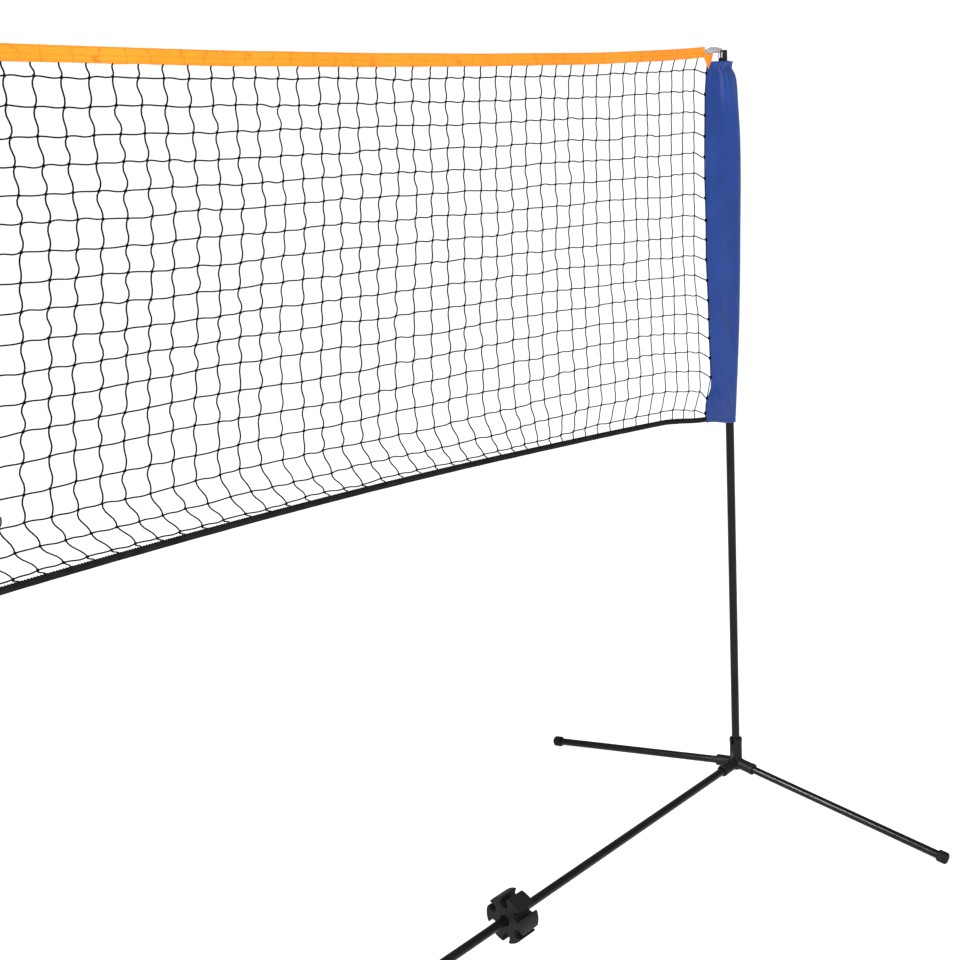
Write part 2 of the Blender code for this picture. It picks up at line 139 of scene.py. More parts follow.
def math_node(tree, operation, first, second=0.5):
    """A Math node whose inputs are sockets or numbers; returns its output."""
    made = node(tree, "ShaderNodeMath", operation=operation)
    for slot, value in ((0, first), (1, second)):
        if isinstance(value, (int, float)):
            made.inputs[slot].default_value = value
        else:
            tree.links.new(value, made.inputs[slot])
    return made.outputs[0]


def noise_of(tree, where, scale, detail=3.0):
    """Noise on Object or UV coordinates; returns its factor."""
    coordinates = node(tree, "ShaderNodeTexCoord")
    made = node(tree, "ShaderNodeTexNoise", Scale=scale, Detail=detail)
    tree.links.new(coordinates.outputs[where], made.inputs["Vector"])
    return made.outputs["Fac"]


def between(tree, factor, dark, light):
    """A colour that runs from dark to light with the factor."""
    ramp = node(tree, "ShaderNodeValToRGB")
    ramp.color_ramp.elements[0].position = 0.3
    ramp.color_ramp.elements[1].position = 0.7
    ramp.color_ramp.elements[0].color = (*dark, 1)
    ramp.color_ramp.elements[1].color = (*light, 1)
    tree.links.new(factor, ramp.inputs["Fac"])
    return ramp.outputs["Color"]


def bump(tree, shader, height, distance, strength=1.0):
    """Adds a bump of that height, in metres, on top of any bump already there."""
    made = node(tree, "ShaderNodeBump", Distance=distance, Strength=strength)
    tree.links.new(height, made.inputs["Height"])
    normal = shader.inputs["Normal"]
    if normal.is_linked:
        tree.links.new(normal.links[0].from_socket, made.inputs["Normal"])
    tree.links.new(made.outputs["Normal"], normal)


def stripes(tree, axis, pitch, wobble=0.0):
    """Even bands across one UV axis, pitch metres apart; returns a wave from 0 to 1."""
    coordinates = node(tree, "ShaderNodeTexCoord")
    split = node(tree, "ShaderNodeSeparateXYZ")
    tree.links.new(coordinates.outputs["UV"], split.inputs[0])
    place = math_node(tree, "MULTIPLY", split.outputs[axis], math.tau / pitch)
    if wobble:
        drift = math_node(tree, "MULTIPLY", noise_of(tree, "UV", 30.0), wobble)
        place = math_node(tree, "ADD", place, drift)
    wave = math_node(tree, "SINE", place)
    return math_node(tree, "MULTIPLY_ADD", wave, 0.5)


# %% [markdown]
# ## Hard finishes
# The tubes are powder-coated steel: black, satin, with the fine orange-peel skin of baked powder. The
# mouldings are matt nylon with a spark-eroded grain, and the foot caps are softer, dustier rubber.

# %% Tube, moulding and rubber
def grained(name, dark, light, roughness, patch, grain, depth, **sockets):
    """A black finish with cloudy colour, uneven gloss and a fine grain."""
    made, tree, shader = new_finish(name, light, roughness, **sockets)
    clouds = noise_of(tree, "Object", patch)
    tree.links.new(between(tree, clouds, dark, light), shader.inputs["Base Color"])
    gloss = math_node(tree, "MULTIPLY", noise_of(tree, "Object", patch * 3), 0.18)
    tree.links.new(math_node(tree, "ADD", gloss, roughness - 0.09), shader.inputs["Roughness"])
    bump(tree, shader, noise_of(tree, "Object", grain, 2.0), depth)
    return made


BLACK = (0.0035, 0.0035, 0.0034)
CHARCOAL = (0.0075, 0.0075, 0.0070)
TUBE = grained(
    "tube_powder_coat", BLACK, CHARCOAL, 0.30, 14, 900, 0.00002, Specular_IOR_Level=0.13
)
GRAPHITE = (0.0115, 0.0115, 0.0105)
MOULDING = grained(
    "moulded_black", CHARCOAL, GRAPHITE, 0.55, 30, 2200, 0.00006, Specular_IOR_Level=0.12
)
RUBBER = grained("foot_rubber", BLACK, CHARCOAL, 0.75, 45, 1500, 0.00007, Specular_IOR_Level=0.15)
print("hard finishes:", TUBE.name, MOULDING.name, RUBBER.name)

# %% [markdown]
# ## Cloth finishes
# Woven cloth is two sets of threads crossing, so its bump is two sets of bands at right angles. The
# sleeve is a tight nylon with a soft sheen. The orange tape is thinner: the net's own cords show
# through it as faint darker lines, drawn here from the tape's UV map at the mesh's spacing.

# %% Sleeve, tapes, webbing and twine
THREAD = 0.0007  # from one thread of the weave to the next
MESH_CELLS = 78
TAPE_CORDS_FROM_POST = 0.07
RUNNER_PITCH = 0.0075  # the lengthwise cords inside the tape


def weave(tree, shader, pitch, depth):
    """A bump of crossing threads, on the UV map."""
    across = stripes(tree, 0, pitch)
    along = stripes(tree, 1, pitch)
    bump(tree, shader, math_node(tree, "MULTIPLY", across, along), depth)


def cloth(name, dark, light, roughness, pitch, depth, patch=9.0, **sockets):
    """Woven cloth: cloudy colour from dark to light, and a weave of that pitch and depth."""
    made, tree, shader = new_finish(name, light, roughness, **sockets)
    clouds = noise_of(tree, "UV", patch)
    tree.links.new(between(tree, clouds, dark, light), shader.inputs["Base Color"])
    weave(tree, shader, pitch, depth)
    return made


SLEEVE_NYLON = cloth(
    "sleeve_nylon",
    (0.0075, 0.030, 0.150),
    (0.0120, 0.044, 0.215),
    0.48,
    THREAD,
    0.00004,
    Sheen_Weight=0.05,
    Sheen_Roughness=0.4,
    Specular_IOR_Level=0.20,
)
BOTTOM_WEBBING = cloth(
    "bottom_webbing",
    (0.006, 0.006, 0.006),
    (0.013, 0.013, 0.013),
    0.85,
    0.0012,
    0.00015,
    40.0,
    Specular_IOR_Level=0.08,
)
LOOP_WEBBING = cloth(
    "loop_webbing", (0.200, 0.185, 0.190), (0.500, 0.480, 0.485), 0.36, 0.0010, 0.00008, 150.0
)
THREAD_BLUE = cloth(
    "blue_thread", (0.006, 0.024, 0.150), (0.010, 0.036, 0.210), 0.6, 0.0006, 0.00004
)
THREAD_ORANGE = cloth(
    "orange_thread", (0.620, 0.150, 0.012), (0.800, 0.210, 0.016), 0.6, 0.0006, 0.00004
)
TWINE = cloth(
    "net_twine",
    (0.0015, 0.0015, 0.0015),
    (0.0045, 0.0045, 0.0045),
    0.8,
    0.0012,
    0.00012,
    60.0,
    Specular_IOR_Level=0.06,
)


def tape_finish():
    """Orange nylon with the cords inside it showing through as thin darker lines."""
    made, tree, shader = new_finish(
        "orange_tape", (1.0, 0.25, 0.012), 0.5, Specular_IOR_Level=0.15
    )
    span = 2 * (POST_X - TAPE_CORDS_FROM_POST)
    cords = stripes(tree, 1, span / MESH_CELLS, wobble=9.0)
    runners = stripes(tree, 0, RUNNER_PITCH, wobble=3.0)
    cords = math_node(tree, "POWER", cords, 90.0)
    runners = math_node(tree, "POWER", runners, 30.0)
    runners = math_node(tree, "MULTIPLY", runners, 0.8)
    line = math_node(tree, "MAXIMUM", cords, runners)
    line = math_node(tree, "MULTIPLY", line, noise_of(tree, "UV", 25.0))
    body = between(tree, noise_of(tree, "UV", 6.0), (0.95, 0.210, 0.010), (1.0, 0.262, 0.018))
    mix = node(tree, "ShaderNodeMixRGB", blend_type="MIX")
    mix.inputs["Color2"].default_value = (0.55, 0.085, 0.008, 1)
    tree.links.new(line, mix.inputs["Fac"])
    tree.links.new(body, mix.inputs["Color1"])
    tree.links.new(mix.outputs[0], shader.inputs["Base Color"])
    bump(tree, shader, line, 0.0002)
    weave(tree, shader, THREAD, 0.00003)
    return made


TAPE = tape_finish()
print("cloth finishes:", SLEEVE_NYLON.name, TAPE.name, BOTTOM_WEBBING.name, LOOP_WEBBING.name)

# %% [markdown]
# ## Tubes
# The steel tubes and the plugs inside their joints already have the right shape, so the frame's own
# nodes stay, and only their finish changes.

# %% Finish the frame's tubes
for name, item in nodes.items():
    if name.startswith(("foot_tube", "rail_tube", "post_lower", "post_upper")):
        item.data.materials.clear()
        item.data.materials.append(TUBE)
    if name.startswith(("rail_plug", "post_plug")):
        item.data.materials.clear()
        item.data.materials.append(MOULDING)
print("tubes finished")

# %% [markdown]
# ## Making pieces
# A piece is shaped in a bmesh and then becomes an object at the origin, with its place in its mesh.
# One shape serves both ends of the net: the second is a copy of the mesh given half a turn.

# %% Helpers for pieces
def as_mesh(bm, name="shape"):
    """Writes the bmesh into a new mesh and frees it."""
    mesh = bpy.data.meshes.new(name)
    bm.to_mesh(mesh)
    bm.free()
    return mesh


def piece(name, bm, finish, body, stands_for=(), angle=40):
    """Turns a bmesh into a shown piece that rides on a body."""
    return mesh_piece(name, as_mesh(bm, name), finish, body, stands_for, angle)


def mesh_piece(name, mesh, finish, body, stands_for=(), angle=40):
    """Turns a finished mesh into a shown piece; edges sharper than the angle stay crisp."""
    mesh.materials.clear()
    mesh.materials.append(finish)
    mesh.shade_smooth()
    mesh.set_sharp_from_angle(angle=math.radians(angle))
    made = linked(name, mesh)
    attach(made, body)
    if stands_for:
        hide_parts(*stands_for)
    print(name, len(mesh.polygons), "faces")
    return made


def placed(mesh, matrix):
    """A copy of a mesh with the matrix worked into it."""
    made = mesh.copy()
    made.transform(matrix)
    return made


def spun(profile, steps=48):
    """A closed solid turned round Z from (radius, height) points that start and end on the axis."""
    bm = bmesh.new()
    line = [bm.verts.new((radius, 0, height)) for radius, height in profile]
    edges = [bm.edges.new(pair) for pair in zip(line, line[1:])]
    bmesh.ops.spin(
        bm,
        geom=line + edges,
        cent=(0, 0, 0),
        axis=(0, 0, 1),
        angle=math.tau,
        steps=steps,
        use_merge=True,
    )
    bmesh.ops.remove_doubles(bm, verts=bm.verts, dist=1e-6)
    bmesh.ops.recalc_face_normals(bm, faces=bm.faces)
    return bm


def both_sides(name, mesh, finish, body, node="", place=Matrix(), angle=180):
    """The same piece for the right and the left; {} in a body or node becomes the side."""
    made = {}
    for side, half_turn in SIDES:
        stands_for = [node.format(side)] if node else []
        shape = placed(mesh, half_turn @ place)
        made[side] = mesh_piece(
            f"{name}_{side}", shape, finish, body.format(side), stands_for, angle
        )
    return made


def box_of(size, centre):
    """A box of that size round a centre."""
    bm = bmesh.new()
    bmesh.ops.create_cube(bm, size=1)
    bmesh.ops.scale(bm, vec=size, verts=bm.verts)
    bmesh.ops.translate(bm, vec=centre, verts=bm.verts)
    return bm


def turned(bm, matrix):
    """The same bmesh, moved by the matrix."""
    bmesh.ops.transform(bm, matrix=matrix, verts=bm.verts)
    return bm


def facing(direction):
    """Turns +Z to the direction."""
    return Vector((0, 0, 1)).rotation_difference(Vector(direction)).to_matrix().to_4x4()


def scratch(bm):
    """A working object that finished_mesh uses up."""
    return linked("scratch", as_mesh(bm, "scratch"))


def finished_mesh(body, tools=(), bevel=0.0, angle=35, segments=3):
    """The body with the tools cut away and its edges rounded, as one plain mesh."""
    for tool in tools:
        cut = body.modifiers.new("cut", "BOOLEAN")
        cut.operation = "DIFFERENCE"
        cut.object = tool
    if bevel:
        rounding = body.modifiers.new("rounding", "BEVEL")
        rounding.width = bevel
        rounding.segments = segments
        rounding.limit_method = "ANGLE"
        rounding.angle_limit = math.radians(angle)
    graph = bpy.context.evaluated_depsgraph_get()
    mesh = bpy.data.meshes.new_from_object(body.evaluated_get(graph), depsgraph=graph)
    for used in (body, *tools):
        bpy.data.objects.remove(used)
    return mesh


# %% [markdown]
# ## Hubs
# A hub is one moulding with four sockets and a curved web between the post and the rail. Real
# mouldings have no sharp inner corners, because melted plastic wouldn't fill them. So the solid parts
# are laid over each other, remeshed into one skin, and smoothed until their corners run together.
# The bores are cut last, so that the mouths stay crisp.

# %% Shape the hub
POST_SOCKET_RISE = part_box("hub_right")[1].z - RAIL_Z
RAIL_SOCKET_REACH = HUB.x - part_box("hub_right")[0].x
FOOT_SOCKET_REACH = 0.046
SOCKET_RADIUS = 0.01225
POST_SOCKET_RADIUS = 0.0135
SOCKET_STOP = 0.016
HUB_VOXEL = 0.0009
HUB_UNDERSIDE = -0.0135
COLLAR_LENGTH = 0.009
COLLAR_STEP = 0.0005
RIM = 0.0012  # the chamfer round a socket's mouth
WEB_RADIUS = 0.026
WEB_INSET = 0.002  # how far the web sinks into the sockets


def boss(radius, reach, base=0.0):
    """A socket's outside: a slightly slimmer body and a collar round its mouth."""
    body = radius - COLLAR_STEP
    collar = reach - COLLAR_LENGTH
    return spun(
        [(0, base), (body, base), (body, collar - 0.001), (radius, collar), (radius, reach - RIM)]
        + [(radius - RIM, reach), (0, reach)]
    )


def bore(radius, stop, reach):
    """A socket's inside, with a lead-in at the mouth."""
    return spun(
        [(0, stop), (radius, stop), (radius, reach - 0.0015), (radius + 0.0010, reach + 0.0003)]
        + [(radius + 0.0010, reach + 0.01), (0, reach + 0.01)]
    )


def web(thickness):
    """The curved fin between post and rail: a block with a round bite out of its outer corner."""
    post_side = -POST_SOCKET_RADIUS + WEB_INSET
    radius = WEB_RADIUS
    low = SOCKET_RADIUS - WEB_INSET
    block = box_of((radius, thickness, radius), (post_side - radius / 2, 0, low + radius / 2))
    bite = spun([(0, -0.02), (radius, -0.02), (radius, 0.02), (0, 0.02)], steps=64)
    turned(bite, Matrix.Rotation(math.pi / 2, 4, "X"))
    turned(bite, Matrix.Translation((post_side - radius, 0, low + radius)))
    return finished_mesh(scratch(block), [scratch(bite)])


def softened(mesh, voxel, rounds):
    """One skin over the mesh, with its corners smoothed into small radii."""
    body = linked("scratch", mesh)
    skin = body.modifiers.new("skin", "REMESH")
    skin.mode = "VOXEL"
    skin.voxel_size = voxel
    bm = bmesh.new()
    bm.from_mesh(finished_mesh(body))
    for _ in range(rounds):
        bmesh.ops.smooth_vert(
            bm, verts=bm.verts, factor=0.5, use_axis_x=True, use_axis_y=True, use_axis_z=True
        )
    return bm


foot_axes = [joint_axis["foot_right_front_pull"], joint_axis["foot_right_back_pull"]]
hub = bmesh.new()
parts = [boss(POST_SOCKET_RADIUS, POST_SOCKET_RISE, HUB_UNDERSIDE)]
parts.append(turned(boss(SOCKET_RADIUS, RAIL_SOCKET_REACH), facing((-1, 0, 0))))
parts += [turned(boss(SOCKET_RADIUS, FOOT_SOCKET_REACH), facing(axis)) for axis in foot_axes]
for part in parts:
    hub.from_mesh(as_mesh(part))
hub.from_mesh(web(0.010))
hub_skin = softened(as_mesh(hub), HUB_VOXEL, 5)
print("hub skin", len(hub_skin.faces), "faces")

# %% [markdown]
# The bores and the little notch in the post socket, on the net's side, are cut through the skin.

# %% Cut the bores and place both hubs
FIT = 0.0003  # the gap between a tube and its socket
POST_STOP = 0.0125
NOTCH_RADIUS = 0.003
NOTCH_DROP = 0.010  # from the post socket's mouth to the notch's round end
cutters = [bore(POST_RADIUS + FIT, POST_STOP, POST_SOCKET_RISE)]
cutters.append(turned(bore(TUBE_RADIUS + FIT, SOCKET_STOP, RAIL_SOCKET_REACH), facing((-1, 0, 0))))
cutters += [
    turned(bore(TUBE_RADIUS + FIT, SOCKET_STOP, FOOT_SOCKET_REACH), facing(axis))
    for axis in foot_axes
]
notch = spun([(0, 0), (NOTCH_RADIUS, 0), (NOTCH_RADIUS, 0.03), (0, 0.03)], steps=24)
notch_top = box_of((0.02, 2 * NOTCH_RADIUS, 0.03), (0, 0, 0))
turned(notch, Matrix.Translation((0, 0, POST_SOCKET_RISE - NOTCH_DROP)) @ facing((-1, 0, 0)))
turned(notch_top, Matrix.Translation((-0.0115, 0, POST_SOCKET_RISE + 0.005)))
cutters += [notch, notch_top]
hub_mesh = finished_mesh(scratch(hub_skin), [scratch(cutter) for cutter in cutters])
both_sides(
    "hub_moulding", hub_mesh, MOULDING, "base", "hub_{}", Matrix.Translation(HUB), 50
)

# %% [markdown]
# ## Storage clips
# When the net is packed away, its tubes press into the six grooves of this star. It is a thick disc
# with a bore for the rail; each groove is a round hole with a narrower mouth, so it grips. Remeshing
# and smoothing it, as for the hub, gives every corner the soft radius of a moulding, where a bevel
# would be held back by the short edges at the grooves' lips. The bore is cut last.

# %% Build the storage clip
clip_low, clip_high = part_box("storage_clip_right")
CLIP_RADIUS = (clip_high.z - clip_low.z) / 2 + 0.0002
CLIP_LENGTH = clip_high.x - clip_low.x
CLIP_PLACE = (clip_low + clip_high) / 2
GROOVE_CIRCLE = 0.0323
GROOVE_RADIUS = 0.0083
GROOVE_MOUTH = 0.0120
CLIP_VOXEL = 0.0008
BORE_FLARE = 0.0018  # how much wider the rail's bore is at its two mouths

disc = bmesh.new()
bmesh.ops.create_cone(
    disc,
    cap_ends=True,
    segments=120,
    radius1=CLIP_RADIUS,
    radius2=CLIP_RADIUS,
    depth=CLIP_LENGTH,
)
tools = []
for index in range(6):
    angle = index * math.tau / 6
    way = Matrix.Rotation(angle, 4, "Z")
    hole = bmesh.new()
    bmesh.ops.create_cone(
        hole, cap_ends=True, segments=32, radius1=GROOVE_RADIUS, radius2=GROOVE_RADIUS, depth=0.1
    )
    bmesh.ops.translate(hole, vec=(GROOVE_CIRCLE, 0, 0), verts=hole.verts)
    tools.append(scratch(turned(hole, way)))
    mouth = box_of((0.03, GROOVE_MOUTH, 0.1), (GROOVE_CIRCLE + 0.0152, 0, 0))
    tools.append(scratch(turned(mouth, way)))
clip_skin = softened(finished_mesh(scratch(disc), tools), CLIP_VOXEL, 6)
half = CLIP_LENGTH / 2
rail_bore = TUBE_RADIUS + 0.0006
mouth = rail_bore + BORE_FLARE
bore_tool = scratch(
    spun(
        [(0, -0.05), (mouth, -0.05), (mouth, -half + 0.002)]
        + [(rail_bore, -half + 0.0045), (rail_bore, half - 0.0045)]
        + [(mouth, half - 0.002), (mouth, 0.05), (0, 0.05)]
    )
)
clip_mesh = finished_mesh(scratch(clip_skin), [bore_tool])
clip_turn = Matrix.Translation(CLIP_PLACE) @ facing((1, 0, 0))
both_sides(
    "clip_moulding", clip_mesh, MOULDING, "clip_{}", "storage_clip_{}", clip_turn, 30
)

# %% [markdown]
# ## Foot caps
# A rubber cup on each foot's end. It is spun, with a rolled lip and a rounded nose, and then sliced
# level with the floor, where it has a flat to stand on.

# %% Build the foot caps
CAP_RADIUS = 0.0115
CAP_LENGTH = 0.019
FOOT_LENGTH = 0.487
CAP_END_WALL = 0.005
CAP_NOSE = 0.0035  # the length of the rounded nose
FLAT_HEIGHT = 0.00002  # just above the floor
for side, half_turn in SIDES:
    for end in ("front", "back"):
        start = FOOT_LENGTH - CAP_LENGTH
        inside = TUBE_RADIUS + FIT
        profile = [(inside, FOOT_LENGTH - CAP_END_WALL), (inside, start + 0.0006)]
        profile += [(TUBE_RADIUS + 0.0009, start), (CAP_RADIUS - 0.0011, start)]
        profile += [(CAP_RADIUS - 0.0003, start + 0.0006), (CAP_RADIUS, start + 0.0018)]
        profile += [(CAP_RADIUS, FOOT_LENGTH - CAP_NOSE)]
        for step in range(1, 6):
            bend = step * math.pi / 10
            shoulder = CAP_RADIUS - 0.003 * (1 - math.cos(bend))
            profile.append((shoulder, FOOT_LENGTH - CAP_NOSE + 0.0030 * math.sin(bend)))
        profile += [(0.004, FOOT_LENGTH - 0.0001), (0, FOOT_LENGTH)]
        cap = spun([(0, FOOT_LENGTH - CAP_END_WALL), *profile])
        turned(cap, facing(joint_axis[f"foot_{side}_{end}_pull"]))
        centre = half_turn @ HUB
        bmesh.ops.translate(cap, vec=centre, verts=cap.verts)
        cut = bmesh.ops.bisect_plane(
            cap,
            geom=cap.verts[:] + cap.edges[:] + cap.faces[:],
            plane_co=(0, 0, FLAT_HEIGHT),
            plane_no=(0, 0, -1),
            clear_outer=True,
        )
        rim = [part for part in cut["geom_cut"] if isinstance(part, bmesh.types.BMEdge)]
        bmesh.ops.edgeloop_fill(cap, edges=rim)
        bmesh.ops.recalc_face_normals(cap, faces=cap.faces)
        foot = f"{side}_{end}"
        name = f"cap_rubber_{foot}"
        piece(name, cap, RUBBER, f"foot_{foot}", [f"foot_cap_{foot}"], 45)

# %% [markdown]
# ## Post caps
# The black plug in the post's top is slotted, so that the webbing loop can be caught in it. Two slots
# leave one thick part and two thin blades.

# %% Build the post caps
HEAD = 0.020  # the part that stands above the tube
STEM = 0.025  # the part inside the tube
SLOTS = (0.0063, 0.0018)  # from the post's axis to the middle of each slot
SLOT_WIDTH = 0.0018
SLOT_DEPTH = 0.014
SLOT_TURN = math.radians(31.5)
stem = POST_RADIUS - 0.0013
head_low = TAPE_HIGH - HEAD
cap_body = spun(
    [(0, -STEM), (stem - 0.0006, -STEM), (stem, -STEM + 0.001), (stem, 0), (POST_RADIUS, 0)]
    + [(POST_RADIUS, HEAD - 0.0010), (POST_RADIUS - 0.0010, HEAD), (0, HEAD)]
)
slots = []
for offset in SLOTS:
    slot_block = box_of((0.04, SLOT_WIDTH, 0.03), (0, offset, HEAD - SLOT_DEPTH + 0.015))
    slots.append(scratch(turned(slot_block, Matrix.Rotation(SLOT_TURN, 4, "Z"))))
cap_mesh = finished_mesh(scratch(cap_body), slots, bevel=0.0003, angle=50, segments=2)
cap_place = Matrix.Translation((POST_X, 0, head_low))
both_sides("cap_slotted", cap_mesh, MOULDING, TOPS, "post_cap_{}", cap_place, 35)

# %% [markdown]
# ## How the net hangs
# Four lines give the net its shape: the top tape sags in a shallow curve, the bottom tape is drawn up
# towards the middle, and each sleeve's inner edge wanders a little. They are functions of the distance
# from the post, so that tapes, sleeves and cords all meet.

# %% Lines that everything hangs from
TAPE_HEIGHT = 0.019
BOTTOM_HEIGHT = 0.009
TOP_REACH = 0.068  # from the post's axis to where the top tape's curve starts
LOW_REACH = 0.090  # the same for the bottom tape
TAPE_SAG = 0.036
BOTTOM_RISE = 0.051
TAPE_BELOW_TOP = 0.0012
END_PULL = 0.0050  # how far each end of the top tape is drawn up by its loop
END_DIP = 0.0090  # how far each end of the bottom tape drops
BOTTOM_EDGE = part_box("net_bottom_tape")[0].z
random.seed(7)


def smooth(low, high, value):
    """0 below low, 1 above high, and a soft step between."""
    share = min(max((value - low) / (high - low), 0.0), 1.0)
    return share * share * (3 - 2 * share)


def wave(x, y=0.0, z=0.0):
    """Smooth noise from -1 to 1."""
    return noise.noise(Vector((x, y, z)))


def curve_through(points, value):
    """The size at a place, on a soft line through a few (place, size) pairs."""
    if value <= points[0][0]:
        return points[0][1]
    if value >= points[-1][0]:
        return points[-1][1]
    index = next(i for i in range(1, len(points)) if value <= points[i][0])
    slopes = []
    for end in (index - 1, index):
        before, after = points[max(end - 1, 0)], points[min(end + 1, len(points) - 1)]
        slopes.append((after[1] - before[1]) / (after[0] - before[0]))
    (low, first), (high, second) = points[index - 1], points[index]
    step = high - low
    share = (value - low) / step
    ease = share * share * (3 - 2 * share)
    lead = step * share * (1 - share) ** 2 * slopes[0]
    trail = -step * share * share * (1 - share) * slopes[1]
    return first + (second - first) * ease + lead + trail


def sag_share(x, reach):
    """1 in the middle of the net and 0 at that distance from the posts."""
    return 1 - min(abs(x) / (POST_X - reach), 1.0) ** 2


def tape_line(x):
    """The top tape's upper edge."""
    pulled_up = END_PULL * math.exp(-(POST_X - TOP_REACH - abs(x)) / 0.16)
    sag = TAPE_SAG * sag_share(x, TOP_REACH)
    return TAPE_HIGH - TAPE_BELOW_TOP - sag + 0.0009 * wave(x * 5, 3) + pulled_up


def bottom_line(x):
    """The bottom tape's lower edge, which dips where it meets a sleeve."""
    from_post = POST_X - abs(x)
    dip = END_DIP * (1 - smooth(0.09, 0.24, from_post))
    drape = 0.0021 * math.sin(math.pi * (x + 0.35) / 1.2) * smooth(0.3, 0.8, from_post)
    return BOTTOM_EDGE + BOTTOM_RISE * sag_share(x, LOW_REACH) - dip + drape


# Pairs of a height and the distance from the post's axis to the sleeve's seam.
SLEEVE_EDGE = (
    (0.820, 0.087),
    (0.864, 0.0890),
    (0.894, 0.0700),
    (0.932, 0.0668),
    (1.180, 0.0740),
    (1.420, 0.0680),
    (1.490, 0.0630),
    (1.530, 0.0520),
)


def sleeve_edge(z):
    """Distance from the post's axis to the sleeve's inner edge."""
    return curve_through(SLEEVE_EDGE, z) + 0.0012 * wave(z * 40, 8)


def seam_lift(z):
    """How far the sleeve's lower part is drawn up at its seam, at height z."""
    return 0.0135 * (1 - smooth(0.0, 0.30, (z - SLEEVE_LOW) / (SLEEVE_HIGH - SLEEVE_LOW)))


print("tape middle", round(tape_line(0), 4), "bottom middle", round(bottom_line(0), 4))

# %% [markdown]
# ## A grid that becomes cloth
# Cloth starts flat, so each cloth piece starts as a flat grid whose UV map is in metres, like the
# cut cloth on a table. A function then says where each point of the flat cloth ends up.

# %% Cloth from a flat grid
def cloth_grid(columns, rows, width, height, shape, merge=0):
    """A grid of cloth. shape(u, v), each from 0 to 1, places a point; points nearer than merge join."""
    bm = bmesh.new()
    bmesh.ops.create_grid(bm, x_segments=columns, y_segments=rows, size=0.5, calc_uvs=True)
    layer = bm.loops.layers.uv.verify()
    for face in bm.faces:
        for loop in face.loops:
            point = loop.vert.co
            loop[layer].uv = ((point.x + 0.5) * width, (point.y + 0.5) * height)
    for vert in bm.verts:
        vert.co = shape(vert.co.x + 0.5, vert.co.y + 0.5)
    if merge:
        bmesh.ops.remove_doubles(bm, verts=bm.verts, dist=merge)
    bmesh.ops.recalc_face_normals(bm, faces=bm.faces)
    return bm


def thicken(made, thickness):
    """Gives cloth its thickness, to both sides of the grid."""
    wall = made.modifiers.new("thickness", "SOLIDIFY")
    wall.thickness = thickness
    wall.offset = 0
    wall.use_even_offset = False
    return made


# %% [markdown]
# ## Sleeves
# Each sleeve is a loose tube of blue nylon. It hangs from a gathered top, puffs out round the post, and
# narrows to the seam that joins it to the net. Its cross-section is a drop: an arc round the post and
# two straight sides to the seam. Pleats fan down from the gathering, long soft folds run down the
# length, and slanting pulls cross the lower quarter. They are worked in as small moves along the
# cloth's own normal, because these folds are shallow and have to stay where they are seen.

# %% Shape of the sleeve
# Pairs of a height and the radius of the sleeve's round part there.
SLEEVE_PUFF = (
    (0.824, 0.0115),
    (0.90, 0.0155),
    (1.02, 0.0200),
    (1.20, 0.0255),
    (1.38, 0.0285),
    (1.45, 0.0272),
    (1.492, 0.0247),
    (1.506, 0.0215),
    (1.5165, 0.0155),
    (1.5285, 0.0185),
)
SLEEVE_AROUND = 160
SLEEVE_ROWS = 300
SLEEVE_GIRTH = 0.235


def drop_point(u, radius, reach):
    """A place and normal on a drop shape: u is 0 at the seam, 0.5 at the outermost point."""
    half = u if u <= 0.5 else 1 - u
    mirror = -1 if u <= 0.5 else 1
    straight = math.sqrt(reach**2 - radius**2)
    opening = math.acos(radius / reach)
    arc = radius * (math.pi - opening)
    along = 2 * half * (straight + arc)
    touch = Vector((-radius * math.cos(opening), radius * math.sin(opening)))
    if along < straight:
        tip = Vector((-reach, 0))
        place = tip.lerp(touch, along / straight)
        normal = touch.normalized()
    else:
        angle = math.pi - opening - (along - straight) / radius
        normal = Vector((math.cos(angle), math.sin(angle)))
        place = normal * radius
    return Vector((place.x, mirror * place.y)), Vector((normal.x, mirror * normal.y))


# Each pull: where it starts and ends, as a share round the sleeve and a height, its width and height.
PULLS = (
    (0.04, 0.895, 0.31, 0.842, 0.0065, 0.0050),
    (0.05, 0.945, 0.33, 0.868, 0.0075, 0.0052),
    (0.10, 1.060, 0.35, 0.925, 0.0100, 0.0046),
    (0.96, 0.900, 0.66, 0.850, 0.0070, 0.0048),
    (0.94, 1.010, 0.64, 0.900, 0.0100, 0.0046),
)


def pull_fold(u, z, pull):
    """A slanting ridge between two places on the cloth, (u, z) each, with its width and height."""
    first_u, first_z, last_u, last_z, width, height = pull
    start = Vector((first_u * SLEEVE_GIRTH, first_z))
    way = Vector((last_u * SLEEVE_GIRTH, last_z)) - start
    spot = Vector((u * SLEEVE_GIRTH, z)) - start
    share = min(max(spot.dot(way) / way.length_squared, 0), 1)
    off = (spot - way * share).length / width
    return height * math.exp(-off * off) * (0.35 + 0.65 * math.sin(math.pi * share))


